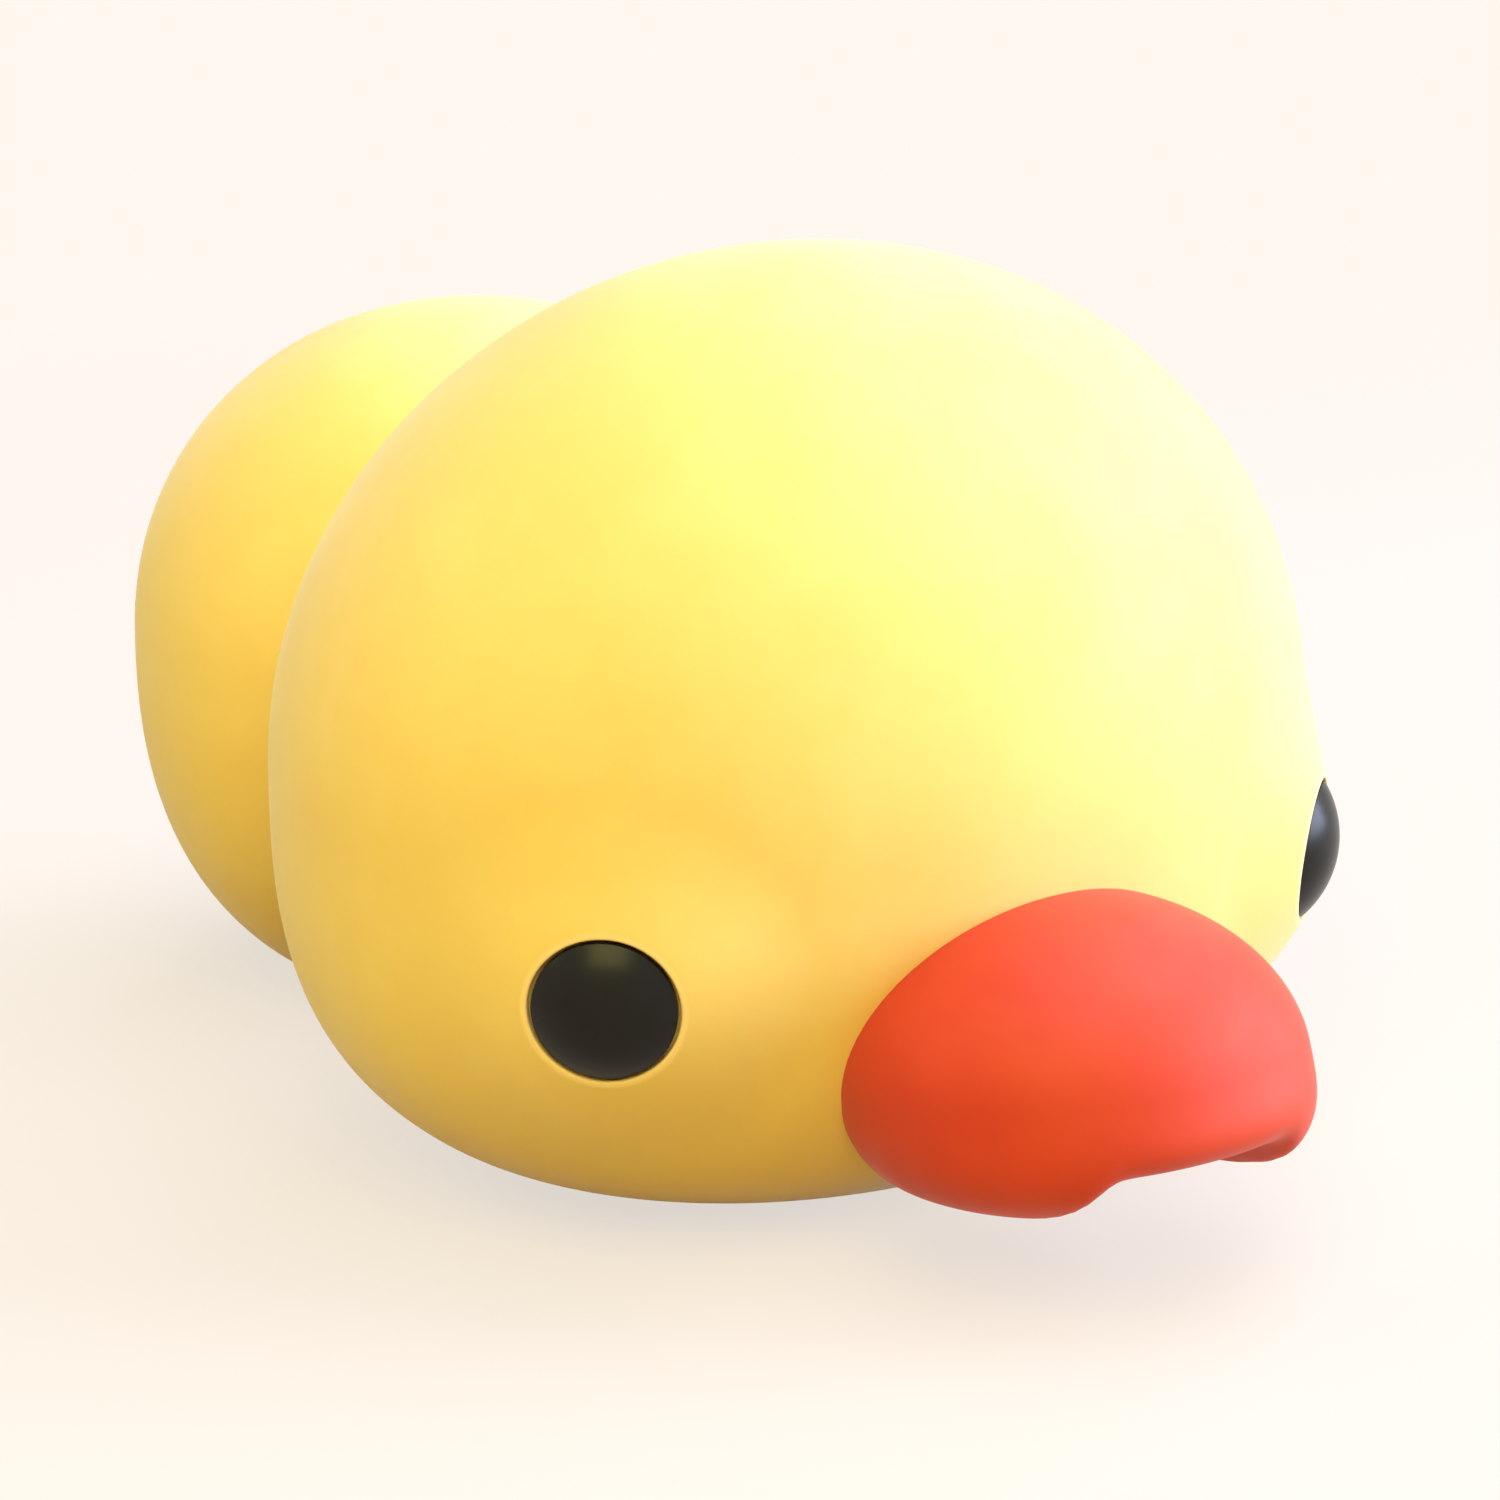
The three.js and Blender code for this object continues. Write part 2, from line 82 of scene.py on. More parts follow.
# Head, body, tail and bill: their reaches from the middle, and their places
HEAD_FRONT = 34.6 * MM
HEAD_JOWL = 35.6 * MM
BODY_BACK = 28.6 * MM
BODY_BELLY = 34.0 * MM
TAIL_REACH = 17.0 * MM
TAIL_PROUD = 7.5 * MM
TAIL_HEIGHT = 36.0 * MM
BILL_REACH = 18.2 * MM
BILL_LIP = 10.1 * MM
BILL_LIFT = 6.9 * MM
BILL_PROUD = 20.2 * MM

# The tail grows out of the body by a fillet. The skin there is found by halving, between these
# shares of the way from the body's middle to its skin.
TAIL_FILLET = 4.0 * MM
SEARCH_FROM = 0.9
SEARCH_TO = 1.6
SEARCH_HALVINGS = 24

# Squeaker: the housing, and the ring and collar of the belly's hole that hold it. The collar's side
# ends its foot's height above the inside of the belly's wall, where the inner wall joins it.
HOUSING_BORE_RADIUS = 3.8 * MM
HOUSING_RADIUS = 5.0 * MM
HOUSING_LENGTH = 20.5 * MM
HOUSING_CORNER = 0.25 * MM
FLANGE_RADIUS = 7.0 * MM
FLANGE_RECESS = 0.3 * MM
FLANGE_TOP = 1.8 * MM
BARB_PROUD = 1.0 * MM
BARB_LENGTH = 2.0 * MM
SOUND_HOLE_RADIUS = 1.7 * MM
RING_WIDTH = 2.2 * MM
RING_SLOPE = 5.5 * MM
COLLAR_WALL = 3.3 * MM
COLLAR_HEIGHT = 6.4 * MM
COLLAR_FOOT = 1.2 * MM

# Neck mouth between the head and the body
NECK_RADIUS = 17.0 * MM
NECK_HEIGHT = 33.0 * MM

# Eyes: turned from the bill and dropped from the head's widest level, each in a pocket in a boss
# that slopes up from the skin
EYE_RADIUS = 5.75 * MM
EYE_DOME_HEIGHT = 2.1 * MM
EYE_POCKET_DEPTH = 1.2 * MM
EYE_TURN = math.radians(49.5)
EYE_DROP = math.radians(16)
EYE_BOSS_HEIGHT = 1.7 * MM
EYE_BOSS_SHOULDER = 0.25 * MM
EYE_BOSS_SLOPE = 10.0 * MM
EYE_RIM_ROUND = 0.15 * MM
EYE_RIM_SEGMENTS = 3
# The painted highlight, a pale ring on the skin round an eye's hole, is full at the first of these
# and gone at the second
EYE_PAINTED_HIGHLIGHT_FULL = 0.25 * MM
EYE_PAINTED_HIGHLIGHT_GONE = 0.75 * MM

# How finely the skins, the seats and the turned pieces are divided, how sharply a seat's slope
# bends up at its end, and how often a ring of it is set on the skin again
OUTER_SPLITS = 7
BILL_SPLITS = 6
INNER_SPLITS = 5
SEAT_RINGS = 16
SEAT_BEND = 2.0
SEAT_PASSES = 4
TURNED_STEPS = 96
DOME_RINGS = 16

# Meshes: a point this close to a cut lies on it, points this close together are merged, in a new
# piece and in a copy of a packed one, and an edge that turns more than this is shaded sharp
LEVEL_ROUNDING = 1e-6
MERGE = 0.002 * MM
CAD_MERGE = 0.001 * MM
SHARP_ANGLE = math.radians(35)

# Fibre filling: each packed filling is remeshed evenly, smoothed, drawn into soft lumps and pushed
# clear of its neighbours
FIBRE_VOXEL = 1.2 * MM
FIBRE_SMOOTHING = 0.5
FIBRE_SMOOTH_PASSES = 4
FIBRE_LUMP = 6.0 * MM
FIBRE_LUMP_DEPTH = 0.5 * MM
FIBRE_GAP = 0.4 * MM
FIBRE_CLEAR_PASSES = 8
FIBRE_NEIGHBOURS = ("head_latex", "body_latex", "bill_latex", "squeaker_tube", "vent_cap")
FIBRE_FILL = 0.8

# The mix node's colour sockets, which share their names with its number sockets
MIX_FACTOR, MIX_A, MIX_B, MIX_RESULT = 0, 6, 7, 2

# Floor and light: this share of the floor is plain background and the rest takes the shadow, and it
# all fades into the background between two distances from the middle
BACKGROUND = "#FFF8F0"
FLOOR_RADIUS = 1.6
FLOOR_SIDES = 96
FLOOR_GLOW = 0.7
FADE_START = 0.16
FADE_END = 0.34
WORLD_FILL = 0.04
LAMP_DISTANCE = 0.9


# Forms and seats


@dataclass
class Form:
    """A swollen form: a ball stretched to its own reach each way, and filled out towards a box as
    its fullness grows past 2, which is round. It may be turned about X, lean back as it rises, and
    have the middle of its belly notched upwards."""

    centre: Vector
    half_width: float
    front: float
    back: float
    crown: float
    belly: float
    crown_fullness: float
    belly_fullness: float
    plan_fullness: float = 2.0
    turn: float = 0.0
    lean: float = 0.0
    notch_rise: float = 0.0
    notch_half_width: float = 1.0
    notch_sharpness: float = 2.0

    def reaches(self, local, inset):
        """The reaches on the side of the centre where a point lies."""
        return Vector((
            self.half_width - inset,
            (self.front if local.y < 0 else self.back) - inset,
            (self.crown if local.z > 0 else self.belly) - inset,
        ))

    def fill(self, share):
        """How far out a point lies that is given in shares of the reaches: 1 is on the skin."""
        plan = self.plan_fullness
        fullness = self.crown_fullness if share.z > 0 else self.belly_fullness
        outward = (abs(share.x) ** plan + abs(share.y) ** plan) ** (1 / plan)
        return (outward**fullness + abs(share.z) ** fullness) ** (1 / fullness)

    def share_of(self, point, inset=0.0):
        """A point in shares of the reaches. The lean and the notch don't count here."""
        local = Matrix.Rotation(-self.turn, 3, "X") @ (point - self.centre)
        reach = self.reaches(local, inset)
        return Vector((local.x / reach.x, local.y / reach.y, local.z / reach.z))

    def level(self, point, inset=0.0):
        """Below nought inside the skin, nought on it and above nought outside."""
        return self.fill(self.share_of(point, inset)) - 1

    def skin_point(self, direction, inset=0.0):
        """The skin's point for a direction from the centre."""
        share = direction / self.fill(direction)
        point = share * self.reaches(share, inset)
        point.y += self.lean * share.z
        if self.notch_rise and share.z < 0:
            notch_reach = self.notch_half_width + inset
            middle = math.exp(-(abs(point.x / notch_reach) ** self.notch_sharpness))
            point.z += self.notch_rise * middle * share.z**2
        return Matrix.Rotation(self.turn, 3, "X") @ point + self.centre

    def inner_point(self, direction):
        """The inner wall's point for a direction from the centre."""
        return self.skin_point(direction, SKIN_WALL)

    def project(self, point):
        """The skin's point on the line from the form's centre."""
        return self.skin_point(self.share_of(point))


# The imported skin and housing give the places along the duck's length
face_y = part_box("head_skin")[0].y
squeaker_low, squeaker_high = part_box("squeaker_housing")
squeaker_y = (squeaker_low.y + squeaker_high.y) / 2

head_form = Form(
    centre=Vector((0, face_y + HEAD_FRONT, HEAD_JOWL - SOLE_TRIM)),
    half_width=46.0 * MM,
    front=HEAD_FRONT,
    back=39.5 * MM,
    crown=41.2 * MM,
    belly=HEAD_JOWL,
    crown_fullness=2.0,
    belly_fullness=2.9,
)
body_form = Form(
    centre=Vector((0, squeaker_y, BODY_BELLY - SOLE_TRIM)),
    half_width=30.9 * MM,
    front=22.7 * MM,
    back=BODY_BACK,
    crown=29.0 * MM,
    belly=BODY_BELLY,
    crown_fullness=2.1,
    belly_fullness=2.4,
)
tail_form = Form(
    centre=Vector((0, squeaker_y + BODY_BACK + TAIL_PROUD - TAIL_REACH, TAIL_HEIGHT)),
    half_width=12.5 * MM,
    front=TAIL_REACH,
    back=TAIL_REACH,
    crown=7.5 * MM,
    belly=7.5 * MM,
    crown_fullness=1.9,
    belly_fullness=1.9,
    plan_fullness=1.8,
    turn=math.radians(26),
)
bill_form = Form(
    centre=Vector((0, face_y - BILL_PROUD + BILL_REACH, BILL_LIFT + BILL_LIP)),
    half_width=18.7 * MM,
    front=BILL_REACH,
    back=BILL_REACH,
    crown=13.8 * MM,
    belly=BILL_LIP,
    crown_fullness=2.0,
    belly_fullness=3.1,
    plan_fullness=2.15,
    turn=math.radians(-8.9),
    lean=2.1 * MM,
    notch_rise=3.6 * MM,
    notch_half_width=9.4 * MM,
    notch_sharpness=12.0,
)


@dataclass
class Seat:
    """A raised seat on a skin: a soft slope from its foot up to a flat rim round a hole."""

    point: Vector
    normal: Vector
    height: float
    hole: float
    shoulder: float
    slope: float

    def __post_init__(self):
        turn = Vector((0, 0, 1)).rotation_difference(self.normal).to_matrix().to_4x4()
        self.axes = Matrix.Translation(self.point) @ turn
        self.inside = self.axes.inverted()
        self.foot = self.hole + self.shoulder + self.slope

    def pocket_floor(self, point):
        """A point of the rim, moved down to the floor of the eye's pocket."""
        return point - self.normal * EYE_POCKET_DEPTH


def eye_seat(side):
    """The seat of an eye on the head, on the duck's left (1) or right (-1)."""

    def on_head(turn_by, rise_by):
        turn = EYE_TURN + turn_by
        rise = rise_by - EYE_DROP
        level = math.cos(rise)
        return head_form.skin_point(
            Vector((side * math.sin(turn) * level, -math.cos(turn) * level, math.sin(rise)))
        )

    # The skin's slope there, from small steps across and upwards
    step = 0.01
    across = on_head(side * step, 0) - on_head(-side * step, 0)
    upwards = on_head(0, step) - on_head(0, -step)
    return Seat(
        point=on_head(0, 0),
        normal=across.cross(upwards).normalized(),
        height=EYE_BOSS_HEIGHT,
        hole=EYE_RADIUS + SEAT_GAP,
        shoulder=EYE_BOSS_SHOULDER,
        slope=EYE_BOSS_SLOPE,
    )


right_eye_seat = eye_seat(-1)
left_eye_seat = eye_seat(1)
squeaker_seat = Seat(
    point=Vector((0, squeaker_y, 0)),
    normal=Vector((0, 0, -1)),
    height=0.0,
    hole=FLANGE_RADIUS + SEAT_GAP,
    shoulder=RING_WIDTH,
    slope=RING_SLOPE,
)


# Mesh work


def open_ball(splits, place, level):
    """A finely divided ball, each point moved to place(direction), cut open where level() says."""
    bm = bmesh.new()
    for vert in bmesh.ops.create_icosphere(bm, subdivisions=splits, radius=1.0)["verts"]:
        vert.co = place(vert.co.normalized())
    cut_along(bm, level)
    return bm


def cut_along(bm, level):
    """Splits a mesh where level() changes sign, deletes what lies below, and returns the rim."""
    mark = bm.verts.layers.float.get("level") or bm.verts.layers.float.new("level")
    for vert in bm.verts:
        vert[mark] = level(vert.co)
    share = {}
    for edge in bm.edges:
        first, second = (vert[mark] for vert in edge.verts)
        if first * second < 0:
            share[edge] = first / (first - second)
    made = bmesh.ops.bisect_edges(bm, edges=list(share), cuts=1, edge_percents=share)["geom_split"]
    seam = [item for item in made if isinstance(item, bmesh.types.BMVert)]
    bmesh.ops.connect_verts(bm, verts=seam)
    doomed = [
        face for face in bm.faces if min(vert[mark] for vert in face.verts) < -LEVEL_ROUNDING
    ]
    bmesh.ops.delete(bm, geom=doomed, context="FACES")
    return [
        edge
        for edge in bm.edges
        if edge.is_boundary and all(abs(vert[mark]) <= LEVEL_ROUNDING for vert in edge.verts)
    ]


def extrude_rim(bm, rim, place):
    """Grows one ring from a rim, moves its new points to place(point) and returns the new rim."""
    made = bmesh.ops.extrude_edge_only(bm, edges=rim)["geom"]
    for item in made:
        if isinstance(item, bmesh.types.BMVert):
            item.co = place(item.co)
    return [item for item in made if isinstance(item, bmesh.types.BMEdge) and item.is_boundary]


def raise_seat(bm, form, seat):
    """Rebuilds the skin inside a seat's foot as rings up to its flat rim, and returns the rim of
    its hole."""

    def beside(point):
        local = seat.inside @ point
        return local.xy.length - seat.foot if abs(local.z) < seat.foot else seat.foot

    def ring(radius):
        rise = min(1.0, (seat.foot - radius) / seat.slope)
        share = rise**SEAT_BEND

        def place(point):
            flat = (seat.inside @ point).xy.normalized() * radius
            height = 0.0
            for _ in range(SEAT_PASSES):
                on_skin = form.project(seat.axes @ Vector((flat.x, flat.y, height)))
                height = (seat.inside @ on_skin).z
            return seat.axes @ Vector((flat.x, flat.y, height + (seat.height - height) * share))

        return place

    rim = cut_along(bm, beside)
    settle = ring(seat.foot)
    for vert in {vert for edge in rim for vert in edge.verts}:
        vert.co = settle(vert.co)
    for step in range(1, SEAT_RINGS + 1):
        rim = extrude_rim(bm, rim, ring(seat.foot - seat.slope * step / SEAT_RINGS))
    return extrude_rim(bm, rim, ring(seat.hole))


def flatten(bm, floor):
    """Cuts a skin off at a level and closes it flat."""
    cut = bmesh.ops.bisect_plane(
        bm,
        geom=bm.verts[:] + bm.edges[:] + bm.faces[:],
        plane_co=(0, 0, floor),
        plane_no=(0, 0, 1),
        clear_inner=True,
    )["geom_cut"]
    edges = [item for item in cut if isinstance(item, bmesh.types.BMEdge)]
    bmesh.ops.edgeloop_fill(bm, edges=edges)


def join_walls(bm, inner):
    """Adds the inner wall to a skin and closes each rim between the two."""
    bmesh.ops.reverse_faces(inner, faces=inner.faces[:])
    wall = bpy.data.meshes.new("inner_wall")
    inner.to_mesh(wall)
    inner.free()
    bm.from_mesh(wall)
    bpy.data.meshes.remove(wall)
    open_edges = [edge for edge in bm.edges if edge.is_boundary]
    bmesh.ops.bridge_loops(bm, edges=open_edges, use_pairs=True)


def turned(profile):
    """A mesh that is spun about +Z from a closed or axis-to-axis profile of (radius, height)."""
    bm = bmesh.new()
    verts = [bm.verts.new((radius, 0, height)) for radius, height in profile]
    edges = [bm.edges.new(pair) for pair in zip(verts, verts[1:])]
    if profile[0][0] > 0:
        edges.append(bm.edges.new((verts[-1], verts[0])))
    bmesh.ops.spin(
        bm,
        geom=verts + edges,
        cent=(0, 0, 0),
        axis=(0, 0, 1),
        angle=2 * math.pi,
        steps=TURNED_STEPS,
        use_merge=True,
    )
    return bm


def in_order(bm):
    """The points of a mesh, and its faces as lists of their numbers, in an order that is the same
    each run, because the order in which the mesh operators leave them isn't."""
    verts = sorted(bm.verts, key=lambda vert: tuple(vert.co))
    number = {vert: place for place, vert in enumerate(verts)}
    faces = []
    for face in bm.faces:
        corners = [number[vert] for vert in face.verts]
        start = corners.index(min(corners))
        faces.append(corners[start:] + corners[:start])
    return [tuple(vert.co) for vert in verts], sorted(faces)


def finish_mesh(bm, name):
    """Ends the work on a mesh: merged points, outward faces, smooth shading with sharp edges, and
    an object at the origin."""
    bmesh.ops.remove_doubles(bm, verts=bm.verts, dist=MERGE)
    bmesh.ops.recalc_face_normals(bm, faces=bm.faces)
    points, faces = in_order(bm)
    bm.free()
    mesh = bpy.data.meshes.new(name)
    mesh.from_pydata(points, [], faces)
    mesh.shade_smooth()
    mesh.set_sharp_from_angle(angle=SHARP_ANGLE)
    piece = bpy.data.objects.new(name, mesh)
    bpy.context.scene.collection.objects.link(piece)
    return piece


# Skins


def neck_level(point):
    """Below nought inside the round way through the neck."""
    if point.y < head_form.centre.y:
        return NECK_RADIUS
    return Vector((point.x, point.z - NECK_HEIGHT)).length - NECK_RADIUS


def face_level(point):
    """Below nought inside the head's skin, from where the rims of body and bill are sunk."""
    return head_form.level(point, RIM_SINK)


def head_skin():
    """A swollen shell with two eye seats, open at the neck and flat where it stands."""
    bm = open_ball(OUTER_SPLITS, head_form.skin_point, neck_level)
    for seat in (right_eye_seat, left_eye_seat):
        rim = raise_seat(bm, head_form, seat)
        bmesh.ops.edgeloop_fill(bm, edges=extrude_rim(bm, rim, seat.pocket_floor))
        bmesh.ops.bevel(
            bm,
            geom=rim,
            offset=EYE_RIM_ROUND,
            segments=EYE_RIM_SEGMENTS,
            profile=0.5,
            affect="EDGES",
            material=-1,
        )
    flatten(bm, 0.0)
    inner = open_ball(INNER_SPLITS, head_form.inner_point, neck_level)
    flatten(inner, SKIN_WALL)
    join_walls(bm, inner)
    return finish_mesh(bm, "head_latex")


def soft_union(first, second, reach):
    """The nearer of two levels, with a fillet of about that reach between them."""
    near = max(reach - abs(first - second), 0.0) / reach
    return min(first, second) - near * near * reach / 4


def body_point(direction):
    """The body's skin in a direction from its middle, with the tail grown out of it."""
    skin = body_form.skin_point(direction)
    if (skin - tail_form.centre).length > 2 * TAIL_REACH:
        return skin
    ray = skin - body_form.centre
    low, high = SEARCH_FROM, SEARCH_TO
    for _ in range(SEARCH_HALVINGS):
        middle = (low + high) / 2
        point = body_form.centre + ray * middle
        level = soft_union(
            body_form.level(point) * BODY_BACK,
            tail_form.level(point) * tail_form.crown,
            TAIL_FILLET,
        )
        low, high = (middle, high) if level < 0 else (low, middle)
    return body_form.centre + ray * low


def on_squeaker(radius, height):
    """What moves a point onto a ring round the squeaker's axis, in the same direction from it."""

    def place(point):
        flat = Vector((point.x, point.y - squeaker_y)).normalized() * radius
        return Vector((flat.x, flat.y + squeaker_y, height))

    return place


def body_skin():
    """A smaller shell with a tail, open against the head, with a ring and a collar for the
    squeaker."""
    bm = open_ball(OUTER_SPLITS, body_point, face_level)
    rim = raise_seat(bm, body_form, squeaker_seat)
    bore = HOUSING_RADIUS + SEAT_GAP
    collar = bore + COLLAR_WALL
    for radius, height in (
        (squeaker_seat.hole, FLANGE_TOP + SEAT_GAP),
        (bore, FLANGE_TOP + SEAT_GAP),
        (bore, COLLAR_HEIGHT),
        (collar, COLLAR_HEIGHT),
        (collar, SKIN_WALL + COLLAR_FOOT),
    ):
        rim = extrude_rim(bm, rim, on_squeaker(radius, height))

    def hole_level(point):
        across = math.hypot(point.x, point.y - squeaker_y)
        return across - collar - SEAT_GAP if point.z < body_form.centre.z else collar

    inner = open_ball(INNER_SPLITS, body_form.inner_point, face_level)
    cut_along(inner, hole_level)
    join_walls(bm, inner)
    return finish_mesh(bm, "body_latex")


def bill_skin():
    """A puffed shell that opens against the face."""
    bm = open_ball(BILL_SPLITS, bill_form.skin_point, face_level)
    join_walls(bm, open_ball(INNER_SPLITS, bill_form.inner_point, face_level))
    return finish_mesh(bm, "bill_latex")


# Eyes, housing and filling


def eye_dome(name, seat):
    """A shallow dome on a short round plug that stands in the eye's pocket."""
    radius = (EYE_RADIUS**2 + EYE_DOME_HEIGHT**2) / (2 * EYE_DOME_HEIGHT)
    half_angle = math.asin(EYE_RADIUS / radius)
    centre = EYE_BOSS_HEIGHT + EYE_DOME_HEIGHT - radius
    floor_height = EYE_BOSS_HEIGHT - EYE_POCKET_DEPTH + SEAT_GAP
    profile = [
        (0, floor_height),
        (EYE_RADIUS - SEAT_GAP, floor_height),
        (EYE_RADIUS, floor_height + SEAT_GAP),
    ]
    for step in range(DOME_RINGS, 0, -1):
        angle = half_angle * step / DOME_RINGS
        profile.append((radius * math.sin(angle), centre + radius * math.cos(angle)))
    profile.append((0, centre + radius))
    bm = turned(profile)
    bmesh.ops.transform(bm, matrix=seat.axes, verts=bm.verts)
    return finish_mesh(bm, name)


def squeaker_housing():
    """A flanged and barbed tube with its sound hole, its outer corners broken."""
    corner = HOUSING_CORNER
    barb = COLLAR_HEIGHT + SEAT_GAP
    bm = turned([
        (SOUND_HOLE_RADIUS + corner, FLANGE_RECESS),
        (FLANGE_RADIUS - corner, FLANGE_RECESS),
        (FLANGE_RADIUS, FLANGE_RECESS + corner),
        (FLANGE_RADIUS, FLANGE_TOP - corner),
        (FLANGE_RADIUS - corner, FLANGE_TOP),
        (HOUSING_RADIUS, FLANGE_TOP),
        (HOUSING_RADIUS, barb),
        (HOUSING_RADIUS + BARB_PROUD - corner, barb),
        (HOUSING_RADIUS + BARB_PROUD, barb + corner),
        (HOUSING_RADIUS, barb + BARB_LENGTH),
        (HOUSING_RADIUS, HOUSING_LENGTH),
        (HOUSING_BORE_RADIUS, HOUSING_LENGTH),
        (HOUSING_BORE_RADIUS, FLANGE_TOP),
        (SOUND_HOLE_RADIUS, FLANGE_TOP),
        (SOUND_HOLE_RADIUS, FLANGE_RECESS + corner),
    ])
    bmesh.ops.translate(bm, vec=(0, squeaker_y, 0), verts=bm.verts)
    return finish_mesh(bm, "squeaker_tube")


def keep_clear(piece):
    """Pushes the points and faces of a filling that touch or enter a neighbour back out of it."""
    graph = bpy.context.evaluated_depsgraph_get()
    points = piece.data.vertices

    def pushed(group, wall):
        middle = sum((points[i].co for i in group), Vector()) / len(group)
        nearest, normal, _, _ = wall.find_nearest(middle, FIBRE_VOXEL)
        short = 0.0 if nearest is None else FIBRE_GAP - (middle - nearest).dot(normal)
        if short <= 0:
            return False
        for i in group:
            points[i].co += normal * short
        return True

    groups = [(point.index,) for point in points]
    groups += [tuple(face.vertices) for face in piece.data.polygons]
    for name in FIBRE_NEIGHBOURS:
        wall = BVHTree.FromObject(bpy.data.objects[name], graph)
        touching = groups
        for _ in range(FIBRE_CLEAR_PASSES):
            touching = [group for group in touching if pushed(group, wall)]


def fibre_filling(node, name):
    """A packed filling as soft, lumpy fibre."""
    mesh = frame["nodes"][node].data.copy()
    piece = bpy.data.objects.new(name, mesh)
    bpy.context.scene.collection.objects.link(piece)
    bm = bmesh.new()
    bm.from_mesh(mesh)
    bmesh.ops.remove_doubles(bm, verts=bm.verts, dist=CAD_MERGE)
    bm.to_mesh(mesh)
    bm.free()
    remesh = piece.modifiers.new("even", "REMESH")
    remesh.mode = "VOXEL"
    remesh.voxel_size = FIBRE_VOXEL
    remesh.use_smooth_shade = True
    smooth = piece.modifiers.new("soft", "SMOOTH")
    smooth.factor = FIBRE_SMOOTHING
    smooth.iterations = FIBRE_SMOOTH_PASSES
    lumps = bpy.data.textures.new(name + "_lumps", "CLOUDS")
    lumps.noise_scale = FIBRE_LUMP
    # At a middle of 1 the lumps only draw the filling in, so it stays in its packed space
    push = piece.modifiers.new("lumps", "DISPLACE")
    push.texture = lumps
    push.texture_coords = "LOCAL"
    push.strength = FIBRE_LUMP_DEPTH
    push.mid_level = 1.0
    graph = bpy.context.evaluated_depsgraph_get()
    made = bpy.data.meshes.new_from_object(piece.evaluated_get(graph))
    piece.modifiers.clear()
    piece.data = made
    bpy.data.meshes.remove(mesh)
    keep_clear(piece)
    return piece


# Materials


def linear(hex_colour):
    """An sRGB hex colour as linear red, green, blue and alpha."""
    channels = [int(hex_colour[i : i + 2], 16) / 255 for i in (1, 3, 5)]
    return (*[c / 12.92 if c <= 0.04045 else ((c + 0.055) / 1.055) ** 2.4 for c in channels], 1.0)


def add(tree, kind, inputs=None, **settings):
    """Adds a node, sets its options, and gives its inputs, by name or number, a value or a link."""
    node = tree.nodes.new(kind)
    for name, value in settings.items():
        setattr(node, name, value)
    for name, value in (inputs or {}).items():
        if isinstance(value, bpy.types.NodeSocket):
            tree.links.new(value, node.inputs[name])
        else:
            node.inputs[name].default_value = value
    return node


def new_material(name):
    """A material without nodes, and its node tree."""
    material = bpy.data.materials.new(name)
    material.use_nodes = True
    material.node_tree.nodes.clear()
    return material, material.node_tree


